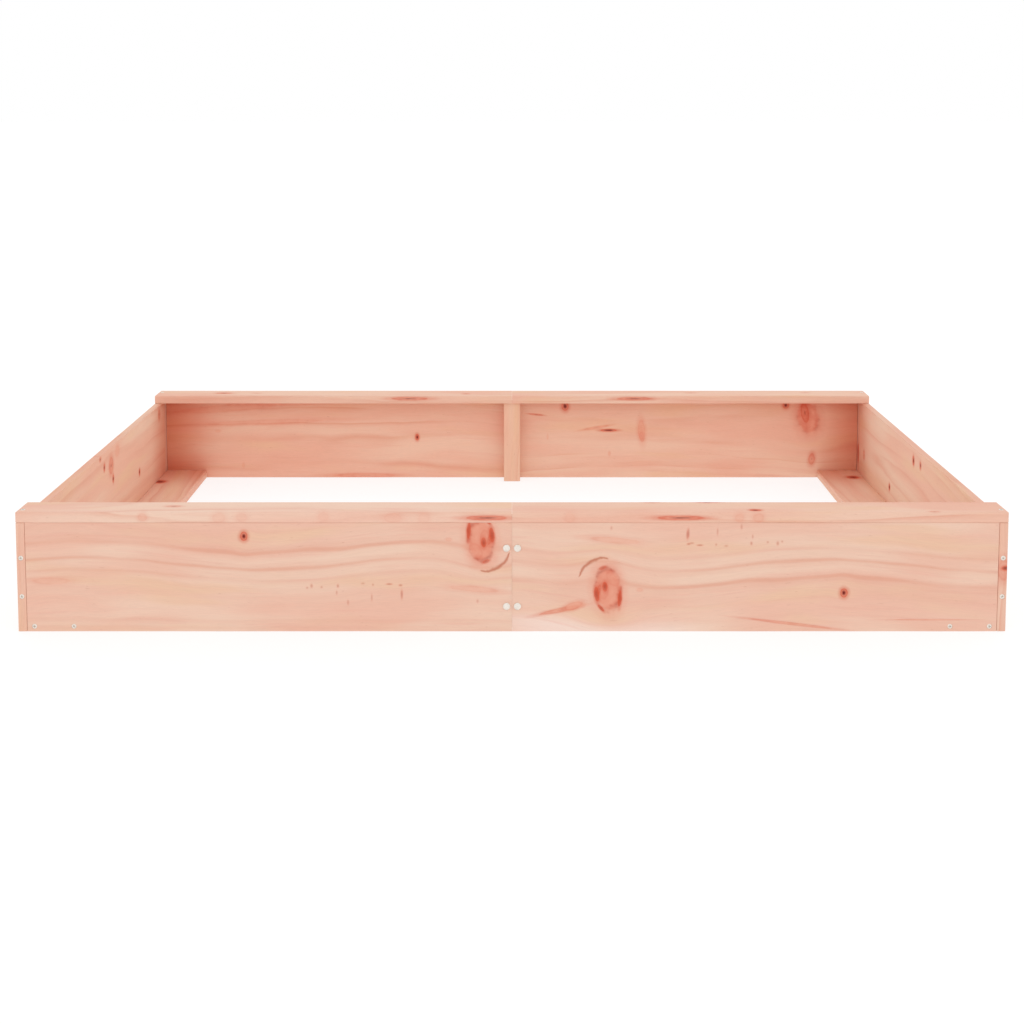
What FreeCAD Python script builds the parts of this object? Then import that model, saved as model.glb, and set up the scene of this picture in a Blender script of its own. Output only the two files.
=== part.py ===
"""Open wooden sandbox: boarded walls with cap rails on the two long sides.

Every board, post, batten, plank, screw and dowel is its own solid, written to
parts/NODE.step. Millimetres, +Z up, +X along the long side, +Y to the back.
The origin is on the ground, in the middle of the box. Left is -X, front is -Y.
"""

import FreeCAD
import Part

import math
import os

# Overall sizes
LENGTH = 1580.0  # over the outer faces of the left and right walls, along X
DEPTH = 790.0  # over the faces of the front and back boards, along Y
WALL_HEIGHT = 178.0  # ground to the underside of the cap rails

# Timber sections
BOARD_THICKNESS = 14.0
POST_DEPTH = 28.0  # along Y
CAP_THICKNESS = 17.0
CAP_WIDTH = 49.0
BATTEN_WIDTH = 36.0
BATTEN_DEPTH = 28.0
PLANK_WIDTH = 89.0
PLANK_THICKNESS = 17.0

# Finish of the timber
EDGE_ROUND = 1.2  # eased edges of every piece
EDGE_ROUND_SHARE = 0.25  # the most of a piece's thinnest side that an eased edge may take
JOINT_GAP = 0.2  # hairline between two half boards that meet end to end
POST_GAP = 0.2  # between the end of a front or back board and its corner post

# Countersunk wood screws
SCREW_DIAMETER = 4.0
SCREW_HEAD_DIAMETER = 8.0
SCREW_HEAD_RIM = 0.6
SCREW_SET_IN = 0.2  # the head's face lies this far under the wood
SCREW_CLEARANCE = 0.15  # between a shank and its hole, all round and at the tip
SCREW_GRIP = 32.0  # length of shank in the second piece
CROSS_RECESS_LENGTH = 4.4
CROSS_RECESS_WIDTH = 1.1
CROSS_RECESS_DEPTH = 1.6
TIP_LENGTH = 6.0
HOLE_OVERRUN = 1.0  # how far a countersunk hole's cut runs out of the wood

# Round-head joint screws, over the middle battens
JOINT_SCREW_DIAMETER = 5.0
JOINT_HEAD_DIAMETER = 12.0
JOINT_HEAD_HEIGHT = 2.6
JOINT_SCREW_COVER = 4.0  # wood left in front of the tip inside the batten

# Dowels under the cap rails
DOWEL_DIAMETER = 6.0
DOWEL_IN_CAP = 10.0
DOWEL_IN_WALL = 14.0
DOWEL_CLEARANCE = 0.1

# Where the fasteners sit
POST_SCREW_HEIGHTS = (57.5, 120.5)
SIDE_SCREW_HEIGHTS = (33.0, 140.0)
JOINT_SCREW_HEIGHTS = (41.6, 136.8)
JOINT_SCREW_FROM_MIDDLE = 8.7
PLANK_SCREW_INSETS = (12.0, 14.0)  # from the outer and the inner edge of a plank
PLANK_EDGE_SCREWS = 3
PLANK_EDGE_SCREW_END_DISTANCE = 140.0
WALL_DOWELS_PER_CAP = 3
DOWEL_END_DISTANCE = 130.0  # from a cap's ends to its nearest wall dowel
BATTEN_DOWEL_SHARE = 0.25  # of a batten's width, from the middle to a dowel on each side

# Places worked out from the sizes
POST_WIDTH = BOARD_THICKNESS  # along X: a post stands in line with its side board
HALF_LENGTH = LENGTH / 2
HALF_DEPTH = DEPTH / 2
TOTAL_HEIGHT = WALL_HEIGHT + CAP_THICKNESS
INNER_HALF_LENGTH = HALF_LENGTH - BOARD_THICKNESS
INNER_HALF_DEPTH = HALF_DEPTH - BOARD_THICKNESS
POST_INNER_X = HALF_LENGTH - POST_WIDTH
POST_INNER_Y = HALF_DEPTH - POST_DEPTH
POST_MIDDLE_X = HALF_LENGTH - POST_WIDTH / 2
POST_MIDDLE_Y = HALF_DEPTH - POST_DEPTH / 2
WALL_MIDDLE_Y = HALF_DEPTH - BOARD_THICKNESS / 2
PLANK_INNER_X = INNER_HALF_LENGTH - PLANK_WIDTH
BATTEN_INNER_Y = INNER_HALF_DEPTH - BATTEN_DEPTH
BATTEN_MIDDLE_Y = INNER_HALF_DEPTH - BATTEN_DEPTH / 2
PLANK_SCREW_HEIGHT = PLANK_THICKNESS / 2

UP = FreeCAD.Vector(0, 0, 1)
LEFT_AND_RIGHT = (("left", -1), ("right", 1))
FRONT_AND_BACK = (("front", -1), ("back", 1))


def span(a, b):
    """Lower value and distance of a stretch given by its two ends, in any order."""
    return min(a, b), abs(b - a)


def timber(x_ends, y_ends, z_ends, square_end=None):
    """Straight length of timber with eased edges, left sharp round a butt joint at x = square_end."""
    x, dx = span(*x_ends)
    y, dy = span(*y_ends)
    z, dz = span(*z_ends)
    block = Part.makeBox(dx, dy, dz, FreeCAD.Vector(x, y, z))
    ease = min(EDGE_ROUND, min(dx, dy, dz) * EDGE_ROUND_SHARE)
    eased = []
    for edge in block.Edges:
        box = edge.BoundBox
        at_joint = square_end is not None and box.XLength < ease
        if not (at_joint and abs(box.Center.x - square_end) < ease):
            eased.append(edge)
    return block.makeFillet(ease, eased)


def aimed(shape, seat, direction):
    """Turns a shape made along +Z so that +Z points along direction, and puts it on seat."""
    placed = shape.copy()
    turn = FreeCAD.Rotation(UP, FreeCAD.Vector(*direction))
    placed.Placement = FreeCAD.Placement(FreeCAD.Vector(*seat), turn)
    return placed


def turned_solid(outline):
    """Solid of revolution about Z from (radius, height) points that start and end on the axis."""
    points = [FreeCAD.Vector(radius, 0, height) for radius, height in outline]
    wire = Part.makePolygon(points + points[:1])
    return Part.Face(wire).revolve(FreeCAD.Vector(0, 0, 0), UP, 360)


def wood_screw(length):
    """Countersunk screw along +Z, with its seat, the face of the wood, at the origin."""
    shank = SCREW_DIAMETER / 2
    head = SCREW_HEAD_DIAMETER / 2
    rim = SCREW_SET_IN + SCREW_HEAD_RIM
    neck = rim + head - shank
    outline = (
        (0, SCREW_SET_IN),
        (head, SCREW_SET_IN),
        (head, rim),
        (shank, neck),
        (shank, length - TIP_LENGTH),
        (0, length),
    )
    screw = turned_solid(outline)
    for turn in (0, 90):
        arm = Part.makeBox(
            CROSS_RECESS_LENGTH,
            CROSS_RECESS_WIDTH,
            CROSS_RECESS_DEPTH,
            FreeCAD.Vector(-CROSS_RECESS_LENGTH / 2, -CROSS_RECESS_WIDTH / 2, SCREW_SET_IN),
        )
        arm.rotate(FreeCAD.Vector(0, 0, 0), UP, turn)
        screw = screw.cut(arm)
    return screw


def wood_screw_hole(length):
    """Countersunk hole for wood_screw: the head seats on the cone, the shank has clearance."""
    shank = SCREW_DIAMETER / 2 + SCREW_CLEARANCE
    head = SCREW_HEAD_DIAMETER / 2
    rim = SCREW_SET_IN + SCREW_HEAD_RIM
    neck = rim + head - shank
    outline = (
        (0, -HOLE_OVERRUN),
        (head, -HOLE_OVERRUN),
        (head, rim),
        (shank, neck),
        (shank, length + SCREW_CLEARANCE),
        (0, length + SCREW_CLEARANCE),
    )
    return turned_solid(outline)


def joint_screw(length):
    """Round-head screw along +Z whose head stands out of the wood, towards -Z."""
    shank = JOINT_SCREW_DIAMETER / 2
    head = JOINT_HEAD_DIAMETER / 2
    dome_radius = (head**2 + JOINT_HEAD_HEIGHT**2) / (2 * JOINT_HEAD_HEIGHT)
    dome = Part.makeSphere(
        dome_radius, FreeCAD.Vector(0, 0, dome_radius - JOINT_HEAD_HEIGHT)
    )
    slab = Part.makeCylinder(
        head, JOINT_HEAD_HEIGHT, FreeCAD.Vector(0, 0, -JOINT_HEAD_HEIGHT)
    )
    outline = ((0, 0), (shank, 0), (shank, length - TIP_LENGTH), (0, length))
    return dome.common(slab).fuse(turned_solid(outline)).removeSplitter()


def joint_screw_hole(length):
    """Plain hole for joint_screw."""
    radius = JOINT_SCREW_DIAMETER / 2 + SCREW_CLEARANCE
    return Part.makeCylinder(radius, length + SCREW_CLEARANCE)


def dowel():
    """Plain dowel along +Z, standing in the wall up into the cap rail."""
    start = FreeCAD.Vector(0, 0, -DOWEL_IN_WALL)
    return Part.makeCylinder(DOWEL_DIAMETER / 2, DOWEL_IN_WALL + DOWEL_IN_CAP, start)


def dowel_hole():
    """Blind hole for a dowel: it ends level with the dowel and has clearance all round."""
    start = FreeCAD.Vector(0, 0, -DOWEL_IN_WALL)
    radius = DOWEL_DIAMETER / 2 + DOWEL_CLEARANCE
    return Part.makeCylinder(radius, DOWEL_IN_WALL + DOWEL_IN_CAP, start)


def evenly(first, last, count):
    """Places from first to last at equal steps."""
    step = (last - first) / (count - 1)
    return [first + step * i for i in range(count)]


def make_timber():
    """All the wooden pieces before they are drilled, by node name."""
    wood = {}
    wall = (0, WALL_HEIGHT)
    cap = (WALL_HEIGHT, TOTAL_HEIGHT)
    joint = JOINT_GAP / 2
    for end, sy in FRONT_AND_BACK:
        face = sy * HALF_DEPTH
        inner = sy * INNER_HALF_DEPTH
        batten_inner = sy * BATTEN_INNER_Y
        half_batten = BATTEN_WIDTH / 2
        wood[f"{end}_joint_batten"] = timber(
            (-half_batten, half_batten), (inner, batten_inner), wall
        )
        for side, sx in LEFT_AND_RIGHT:
            joint_end = sx * joint
            post_end = sx * (POST_INNER_X - POST_GAP)
            wood[f"{end}_board_{side}"] = timber(
                (joint_end, post_end), (face, inner), wall, joint_end
            )
            wood[f"{end}_cap_{side}"] = timber(
                (joint_end, sx * HALF_LENGTH), (face, face - sy * CAP_WIDTH), cap, joint_end
            )
            wood[f"corner_post_{end}_{side}"] = timber(
                (sx * POST_INNER_X, sx * HALF_LENGTH), (face, sy * POST_INNER_Y), wall
            )
    for side, sx in LEFT_AND_RIGHT:
        outer = sx * HALF_LENGTH
        inner = sx * INNER_HALF_LENGTH
        wood[f"side_board_{side}"] = timber(
            (outer, inner), (-POST_INNER_Y, POST_INNER_Y), wall
        )
        wood[f"bottom_plank_{side}"] = timber(
            (inner, sx * PLANK_INNER_X),
            (-INNER_HALF_DEPTH, INNER_HALF_DEPTH),
            (0, PLANK_THICKNESS),
        )
    return wood


def wood_screw_places():
    """For each screw node: (seat, direction, depth of the first piece, pieces drilled) of each screw."""
    places = {}
    for end, sy in FRONT_AND_BACK:
        inwards = (0, -sy, 0)
        face = sy * HALF_DEPTH
        posts = []
        planks = []
        tops = []
        for side, sx in LEFT_AND_RIGHT:
            post = f"corner_post_{end}_{side}"
            for height in POST_SCREW_HEIGHTS:
                seat = (sx * POST_MIDDLE_X, face, height)
                posts.append((seat, inwards, POST_DEPTH, (post, f"side_board_{side}")))
            insets = (
                INNER_HALF_LENGTH - PLANK_SCREW_INSETS[0],
                PLANK_INNER_X + PLANK_SCREW_INSETS[1],
            )
            for x in insets:
                seat = (sx * x, face, PLANK_SCREW_HEIGHT)
                drilled = (f"{end}_board_{side}", f"bottom_plank_{side}")
                planks.append((seat, inwards, BOARD_THICKNESS, drilled))
            seat = (sx * POST_MIDDLE_X, sy * POST_MIDDLE_Y, TOTAL_HEIGHT)
            drilled = (f"{end}_cap_{side}", post)
            tops.append((seat, (0, 0, -1), CAP_THICKNESS, drilled))
        places[f"{end}_post_screws"] = posts
        places[f"{end}_plank_screws"] = planks
        places[f"{end}_cap_screws"] = tops
    last = INNER_HALF_DEPTH - PLANK_EDGE_SCREW_END_DISTANCE
    for side, sx in LEFT_AND_RIGHT:
        inwards = (-sx, 0, 0)
        face = sx * HALF_LENGTH
        corners = []
        for end, sy in FRONT_AND_BACK:
            drilled = (f"corner_post_{end}_{side}", f"{end}_board_{side}")
            for height in SIDE_SCREW_HEIGHTS:
                seat = (face, sy * WALL_MIDDLE_Y, height)
                corners.append((seat, inwards, POST_WIDTH, drilled))
        edges = []
        drilled = (f"side_board_{side}", f"bottom_plank_{side}")
        for y in evenly(-last, last, PLANK_EDGE_SCREWS):
            seat = (face, y, PLANK_SCREW_HEIGHT)
            edges.append((seat, inwards, BOARD_THICKNESS, drilled))
        places[f"{side}_corner_screws"] = corners
        places[f"{side}_plank_edge_screws"] = edges
    return places


def joint_screw_places():
    """Seat, direction and pieces drilled of the round-head screws in the two battens."""
    places = {}
    for end, sy in FRONT_AND_BACK:
        screws = []
        for side, sx in LEFT_AND_RIGHT:
            drilled = (f"{end}_board_{side}", f"{end}_joint_batten")
            for height in JOINT_SCREW_HEIGHTS:
                seat = (sx * JOINT_SCREW_FROM_MIDDLE, sy * HALF_DEPTH, height)
                screws.append((seat, (0, -sy, 0), drilled))
        places[f"{end}_joint_screws"] = screws
    return places


def dowel_places():
    """Seat and pieces drilled of the dowels under the cap rails."""
    places = {}
    first = DOWEL_END_DISTANCE
    last = HALF_LENGTH - DOWEL_END_DISTANCE
    for end, sy in FRONT_AND_BACK:
        pins = []
        for side, sx in LEFT_AND_RIGHT:
            cap = f"{end}_cap_{side}"
            for x in evenly(first, last, WALL_DOWELS_PER_CAP):
                seat = (sx * x, sy * WALL_MIDDLE_Y, WALL_HEIGHT)
                pins.append((seat, (cap, f"{end}_board_{side}")))
            seat = (sx * BATTEN_WIDTH * BATTEN_DOWEL_SHARE, sy * BATTEN_MIDDLE_Y, WALL_HEIGHT)
            pins.append((seat, (cap, f"{end}_joint_batten")))
        places[f"{end}_cap_dowels"] = pins
    return places


def assemble():
    """Drills the timber for every fastener and returns all the nodes, by name."""
    wood = make_timber()
    holes = {name: [] for name in wood}
    fasteners = {}
    for node, screws in wood_screw_places().items():
        group = []
        for seat, direction, first_piece, drilled in screws:
            length = first_piece + SCREW_GRIP
            group.append(aimed(wood_screw(length), seat, direction))
            for piece in drilled:
                holes[piece].append(aimed(wood_screw_hole(length), seat, direction))
        fasteners[node] = group
    joint_length = BOARD_THICKNESS + BATTEN_DEPTH - JOINT_SCREW_COVER
    for node, screws in joint_screw_places().items():
        group = []
        for seat, direction, drilled in screws:
            group.append(aimed(joint_screw(joint_length), seat, direction))
            for piece in drilled:
                holes[piece].append(aimed(joint_screw_hole(joint_length), seat, direction))
        fasteners[node] = group
    for node, pins in dowel_places().items():
        group = []
        for seat, drilled in pins:
            group.append(aimed(dowel(), seat, (0, 0, 1)))
            for piece in drilled:
                holes[piece].append(aimed(dowel_hole(), seat, (0, 0, 1)))
        fasteners[node] = group
    nodes = {}
    for name, piece in wood.items():
        nodes[name] = piece.cut(holes[name]) if holes[name] else piece
    for name, group in fasteners.items():
        nodes[name] = Part.makeCompound(group)
    return nodes


def main():
    os.makedirs("parts", exist_ok=True)
    for name, shape in assemble().items():
        solids = shape.Solids
        if not shape.isValid() or not solids:
            raise ValueError(f"{name} is not a sound solid")
        if len(solids) == 1:
            shape = solids[0]
        shape.exportStep(f"parts/{name}.step")
        volume = math.fsum(solid.Volume for solid in solids)
        print(f"{name}: {len(solids)} solids, {volume / 1000:.1f} cm3")


main()
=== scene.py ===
"""Looks of the open wooden sandbox: planed softwood boards, zinc-plated screws, a pale studio.

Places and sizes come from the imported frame. Lengths are in metres, and in millimetres
in the timber patterns, where the names say so.
"""

import math
from dataclasses import dataclass

import bmesh
import bpy
import numpy as np
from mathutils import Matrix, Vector


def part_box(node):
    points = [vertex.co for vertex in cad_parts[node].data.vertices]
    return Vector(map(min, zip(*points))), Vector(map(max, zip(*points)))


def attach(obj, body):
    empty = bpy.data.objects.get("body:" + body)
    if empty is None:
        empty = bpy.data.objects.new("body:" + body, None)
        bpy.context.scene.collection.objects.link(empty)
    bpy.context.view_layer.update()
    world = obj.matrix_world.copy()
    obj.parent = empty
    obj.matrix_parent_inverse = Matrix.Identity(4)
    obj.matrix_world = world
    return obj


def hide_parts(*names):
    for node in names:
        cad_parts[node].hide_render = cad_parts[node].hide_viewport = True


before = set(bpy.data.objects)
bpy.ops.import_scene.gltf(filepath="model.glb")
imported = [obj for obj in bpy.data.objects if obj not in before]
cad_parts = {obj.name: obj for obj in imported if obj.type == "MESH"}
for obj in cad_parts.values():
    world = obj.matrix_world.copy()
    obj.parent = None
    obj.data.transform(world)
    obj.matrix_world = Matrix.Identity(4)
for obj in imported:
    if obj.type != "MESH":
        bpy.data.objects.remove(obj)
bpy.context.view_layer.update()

MM = 0.001
X, Y, Z = 0, 1, 2


# ---------------------------------------------------------------- colours

def shade(red, green, blue):
    """Linear colour from 0 to 255 display values."""
    parts = []
    for value in (red, green, blue):
        share = value / 255
        parts.append(share / 12.92 if share <= 0.04045 else ((share + 0.055) / 1.055) ** 2.4)
    return (*parts, 1.0)


EARLYWOOD = shade(238, 204, 182)
SAPWOOD = shade(246, 224, 212)
BLUSH = shade(236, 189, 167)
HONEY = shade(236, 198, 166)
LATEWOOD = shade(222, 154, 128)
PINK_STREAK = shade(230, 170, 150)
RESIN_DASH = shade(178, 104, 78)
KNOT_PINK = shade(233, 155, 128)
KNOT_RED = shade(210, 78, 42)
KNOT_RIM = shade(188, 72, 42)
KNOT_BARK = shade(160, 60, 38)
KNOT_HEART = shade(112, 14, 6)
CHECK_BROWN = shade(190, 106, 76)
END_GRAIN = shade(214, 156, 122)
BEECH = shade(222, 188, 142)
BEECH_DARK = shade(204, 164, 118)
BEECH_FLECK = shade(164, 112, 72)
# Zinc colours, grey zinc warmed towards pink by a painted reflection of the wood
ZINC_WITH_REFLECTION = shade(236, 229, 220)
ZINC_DULL_WITH_REFLECTION = shade(229, 221, 211)
STUDIO_FLOOR = shade(148, 148, 148)


# ---------------------------------------------------------------- node drawing

class Drawing:
    """Short calls that add nodes to one node tree and return their output sockets."""

    def __init__(self, tree):
        self.tree = tree

    def node(self, kind, **settings):
        made = self.tree.nodes.new(kind)
        for name, value in settings.items():
            setattr(made, name, value)
        return made

    def feed(self, socket, value):
        """Links a socket to another one, or sets it to a plain value."""
        if isinstance(value, bpy.types.NodeSocket):
            self.tree.links.new(value, socket)
        elif value is not None:
            socket.default_value = value

    def fed(self, kind, values, **settings):
        """A node whose inputs are linked or set by name."""
        made = self.node(kind, **settings)
        for name, value in values.items():
            self.feed(made.inputs[name], value)
        return made

    def group(self, tree, values):
        """The outputs of a node group whose inputs are linked or set by name."""
        return self.fed("ShaderNodeGroup", values, node_tree=tree).outputs

    def maths(self, operation, first, second=None, third=None):
        made = self.node("ShaderNodeMath", operation=operation)
        for socket, value in zip(made.inputs, (first, second, third)):
            self.feed(socket, value)
        return made.outputs[0]

    def product(self, first, *others):
        """All the values multiplied, from first to last."""
        for other in others:
            first = self.maths("MULTIPLY", first, other)
        return first

    def vector(self, operation, first, second=None):
        made = self.node("ShaderNodeVectorMath", operation=operation)
        self.feed(made.inputs[0], first)
        self.feed(made.inputs[1], second)
        name = "Value" if operation in ("LENGTH", "DOT_PRODUCT") else "Vector"
        return made.outputs[name]

    def split(self, vector):
        made = self.node("ShaderNodeSeparateXYZ")
        self.feed(made.inputs[0], vector)
        return made.outputs[:]

    def join(self, *parts):
        made = self.node("ShaderNodeCombineXYZ")
        for socket, value in zip(made.inputs, parts):
            self.feed(socket, value)
        return made.outputs[0]

    def same(self, value):
        """A vector with the value along all three axes."""
        return self.join(value, value, value)

    def noise_node(self, vector, stretch, detail, roughness, shift):
        """Noise with stretch as its scale along each axis. shift moves it to another place."""
        scaled = self.vector("MULTIPLY", vector, stretch)
        moved = self.vector("ADD", scaled, (shift, shift * 1.7, -shift * 0.6))
        values = {"Vector": moved, "Scale": 1.0, "Detail": detail, "Roughness": roughness}
        return self.fed("ShaderNodeTexNoise", values)

    def noise(self, vector, stretch, detail=2.0, roughness=0.5, shift=0.0):
        """Noise from 0 to 1."""
        return self.noise_node(vector, stretch, detail, roughness, shift).outputs["Fac"]

    def drift(self, vector, stretch, reach, shift):
        """Slow noise that swings about zero, reach wide along each axis."""
        made = self.noise_node(vector, stretch, 1.0, 0.4, shift)
        swing = self.vector("SUBTRACT", made.outputs["Color"], (0.5, 0.5, 0.5))
        return self.vector("MULTIPLY", swing, reach)

    def step(self, value, low, high, to_low=0.0, to_high=1.0):
        """Smooth step of value from low to high, which may run downwards."""
        made = self.node("ShaderNodeMapRange", interpolation_type="SMOOTHSTEP")
        self.feed(made.inputs["Value"], value)
        turned = low > high
        ends = (high, low, to_high, to_low) if turned else (low, high, to_low, to_high)
        for name, end in zip(("From Min", "From Max", "To Min", "To Max"), ends):
            made.inputs[name].default_value = end
        return made.outputs["Result"]

    def ramp(self, value, stops):
        """Level of value along rising (place, level) stops, eased from one to the next."""
        made = self.node("ShaderNodeValToRGB")
        made.color_ramp.interpolation = "EASE"
        elements = made.color_ramp.elements
        elements[0].position = stops[0][0]
        elements[-1].position = stops[-1][0]
        for place, _ in stops[1:-1]:
            elements.new(place)
        for element, (_, level) in zip(elements, stops):
            element.color = (level, level, level, 1.0)
        self.feed(made.inputs["Fac"], value)
        return made.outputs["Color"]

    def mix(self, share, first, second):
        """Colour between first and second. The colour sockets of a Mix node are 6, 7 and out 2."""
        made = self.node("ShaderNodeMix", data_type="RGBA")
        self.feed(made.inputs["Factor"], share)
        self.feed(made.inputs[6], first)
        self.feed(made.inputs[7], second)
        return made.outputs[2]


def group_tree(name, inputs, outputs, kind="ShaderNodeTree"):
    """Empty node group with its drawing, and its input and output sockets."""
    tree = bpy.data.node_groups.new(name, kind)
    for in_out, sockets in (("INPUT", inputs), ("OUTPUT", outputs)):
        for label, socket_type in sockets:
            tree.interface.new_socket(label, in_out=in_out, socket_type=socket_type)
    draw = Drawing(tree)
    return tree, draw, draw.node("NodeGroupInput").outputs, draw.node("NodeGroupOutput").inputs


FLOAT, VECTOR, COLOUR = "NodeSocketFloat", "NodeSocketVector", "NodeSocketColor"
GEOMETRY, MATERIAL = "NodeSocketGeometry", "NodeSocketMaterial"


def make_bend_group():
    """Pushes the grain apart, across its run, where it passes a knot."""
    tree, draw, given, out = group_tree(
        "grain_round_knot",
        (("Grain", VECTOR), ("Place", VECTOR), ("Reach", VECTOR), ("Push", FLOAT)),
        (("Grain", VECTOR),),
    )
    away = draw.vector("SUBTRACT", given["Grain"], given["Place"])
    far = draw.vector("LENGTH", draw.vector("DIVIDE", away, given["Reach"]))
    fall = draw.maths("EXPONENT", draw.product(draw.maths("POWER", far, 2.0), -1.0))
    pull = draw.vector("MULTIPLY", away, (0.0, 1.0, 0.0))
    pull = draw.vector("MULTIPLY", pull, draw.same(fall))
    pull = draw.vector("MULTIPLY", pull, draw.same(given["Push"]))
    draw.feed(out["Grain"], draw.vector("SUBTRACT", given["Grain"], pull))
    return tree


# Where the parts of a knot start and where they are full, as shares of its half size
HALO_SPAN = (1.75, 0.75)
BODY_SPAN = (1.12, 0.78)
BARK_INNER_SPAN = (0.62, 0.9)
BARK_OUTER_SPAN = (1.06, 0.92)
HEART_SPAN = (1.05, 0.2)  # of the heart's own size
RIM_AT = 0.94
RIM_FADE = 0.15
KNOT_UNEVEN = 0.16  # how far its outline swings in and out
RING_TURNS = 19.0  # radians of its ring pattern over one half size


def make_knot_group():
    """Paints one knot over the wood: halo, blotchy body, broken rim with bark, and heart."""
    tree, draw, given, out = group_tree(
        "knot",
        (("Colour", COLOUR), ("Height", FLOAT), ("Place in mm", VECTOR), ("Rough", FLOAT),
         ("Blotch", FLOAT), ("Centre", VECTOR), ("Half Size", VECTOR), ("Tilt", FLOAT),
         ("Red", FLOAT), ("Heart", FLOAT), ("Heart Size", FLOAT), ("Rim", FLOAT),
         ("Strength", FLOAT)),
        (("Colour", COLOUR), ("Height", FLOAT)),
    )
    away = draw.vector("SUBTRACT", given["Place in mm"], given["Centre"])
    turn = {"Vector": away, "Angle": draw.product(given["Tilt"], -1.0)}
    turned = draw.fed("ShaderNodeVectorRotate", turn, rotation_type="Z_AXIS").outputs[0]
    inside = draw.vector("DIVIDE", turned, given["Half Size"])
    uneven = draw.maths("MULTIPLY_ADD", given["Rough"], 2 * KNOT_UNEVEN, -KNOT_UNEVEN)
    far = draw.maths("ADD", draw.vector("LENGTH", inside), uneven)
    blotch = given["Blotch"]
    strength = given["Strength"]

    redness = draw.maths("MULTIPLY_ADD", given["Red"], 0.7, blotch)
    redness = draw.maths("MULTIPLY_ADD", draw.step(far, 0.3, 1.0), 0.3, redness)
    ring = draw.maths("SINE", draw.product(far, RING_TURNS))
    redness = draw.maths("MULTIPLY_ADD", ring, 0.045, redness)
    flesh = draw.mix(draw.step(redness, 0.6, 1.5), KNOT_PINK, KNOT_RED)
    halo = draw.product(draw.step(far, *HALO_SPAN), 0.45)
    body = draw.product(draw.step(far, *BODY_SPAN), 0.82)
    share = draw.product(draw.maths("MAXIMUM", halo, body), strength)
    colour = draw.mix(share, given["Colour"], flesh)

    rimmed = draw.product(given["Rim"], strength)
    off_rim = draw.maths("ABSOLUTE", draw.maths("SUBTRACT", far, RIM_AT))
    patches = draw.step(blotch, 0.36, 0.62, 0.2, 0.95)
    rim = draw.product(draw.step(off_rim, RIM_FADE, 0.0), patches, rimmed)
    colour = draw.mix(rim, colour, KNOT_RIM)
    bark = draw.product(draw.step(far, *BARK_INNER_SPAN), draw.step(far, *BARK_OUTER_SPAN))
    bark = draw.product(bark, draw.step(blotch, 0.52, 0.74), rimmed)
    colour = draw.mix(draw.product(bark, 0.75), colour, KNOT_BARK)
    core = draw.maths("DIVIDE", far, given["Heart Size"])
    heart = draw.product(draw.step(core, *HEART_SPAN), given["Heart"], strength)
    colour = draw.mix(heart, colour, KNOT_HEART)
    draw.feed(out["Colour"], colour)
    dip = draw.maths("MAXIMUM", rim, bark)
    dip = draw.maths("MULTIPLY_ADD", dip, 0.8, draw.product(heart, 0.6))
    draw.feed(out["Height"], draw.maths("SUBTRACT", given["Height"], dip))
    return tree


CHECK_SHAKE = 3.0  # mm, how far a drying check strays from its arc
LEAST_WIDTH = 0.001


def make_check_group():
    """Paints one curved drying check: a thin dark line on an arc, tapering to its ends."""
    tree, draw, given, out = group_tree(
        "drying_check",
        (("Colour", COLOUR), ("Height", FLOAT), ("Place in mm", VECTOR), ("Centre", VECTOR),
         ("Radius", FLOAT), ("Towards", VECTOR), ("Narrowing", FLOAT), ("Half Width", FLOAT),
         ("Strength", FLOAT)),
        (("Colour", COLOUR), ("Height", FLOAT)),
    )
    away = draw.vector("SUBTRACT", given["Place in mm"], given["Centre"])
    away = draw.vector("MULTIPLY", away, (1.0, 1.0, 0.0))
    shake = draw.noise(given["Place in mm"], (0.09, 0.09, 0.09))
    off = draw.maths("SUBTRACT", draw.vector("LENGTH", away), given["Radius"])
    off = draw.maths("ADD", off, draw.maths("MULTIPLY_ADD", shake, 2 * CHECK_SHAKE, -CHECK_SHAKE))
    facing = draw.vector("DOT_PRODUCT", draw.vector("NORMALIZE", away), given["Towards"])
    past = draw.maths("DIVIDE", draw.maths("SUBTRACT", 1.0, facing), given["Narrowing"])
    taper = draw.maths("SUBTRACT", 1.0, draw.maths("MINIMUM", past, 1.0))
    width = draw.product(draw.maths("SQRT", taper), given["Half Width"])
    width = draw.maths("ADD", width, LEAST_WIDTH)
    line = draw.step(draw.maths("DIVIDE", draw.maths("ABSOLUTE", off), width), 1.0, 0.0)
    line = draw.product(line, draw.step(taper, 0.0, 0.25), given["Strength"])
    draw.feed(out["Colour"], draw.mix(line, given["Colour"], CHECK_BROWN))
    draw.feed(out["Height"], draw.maths("SUBTRACT", given["Height"], line))
    return tree


BEND_GROUP = make_bend_group()
KNOT_GROUP = make_knot_group()
CHECK_GROUP = make_check_group()


# ---------------------------------------------------------------- timber features

# Painted shade: this tint darkens and reddens the wood in the inner corners, where shade falls
PAINTED_SHADE_TINT = (0.86, 0.55, 0.46)
SAWN_EDGE = (0.93, 0.84, 0.82)  # tint of the side boards' narrow faces
REDDER = (0.975, 0.86, 0.82)  # tint of the back wall's boards
THROUGH = 200.0  # half size, in mm, of what goes right through a board


def knot(place, half, tilt=0, red=0.2, heart=0.9, heart_size=0.3, rim=0.0, strength=1.0,
         push=0.0):
    """A knot on a piece. Millimetres in the sandbox's frame, tilt in degrees from the grain.

    place is (x, y, z), or two of them where on_face adds the third. half is the half size (along
    the grain, across the face, through it). With the last left out, the knot goes right through.
    """
    return dict(
        place=place, half=(*half, THROUGH)[:3], tilt=math.radians(tilt), red=red, heart=heart,
        heart_size=heart_size, rim=rim, strength=strength, push=push,
    )


def pin_knot(place, half, strength=1.0, push=0.0):
    """A small tight knot: mostly dark heart in a red ring."""
    return knot(place, half, red=0.9, heart=1.0, heart_size=0.62, strength=strength, push=push)


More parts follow.
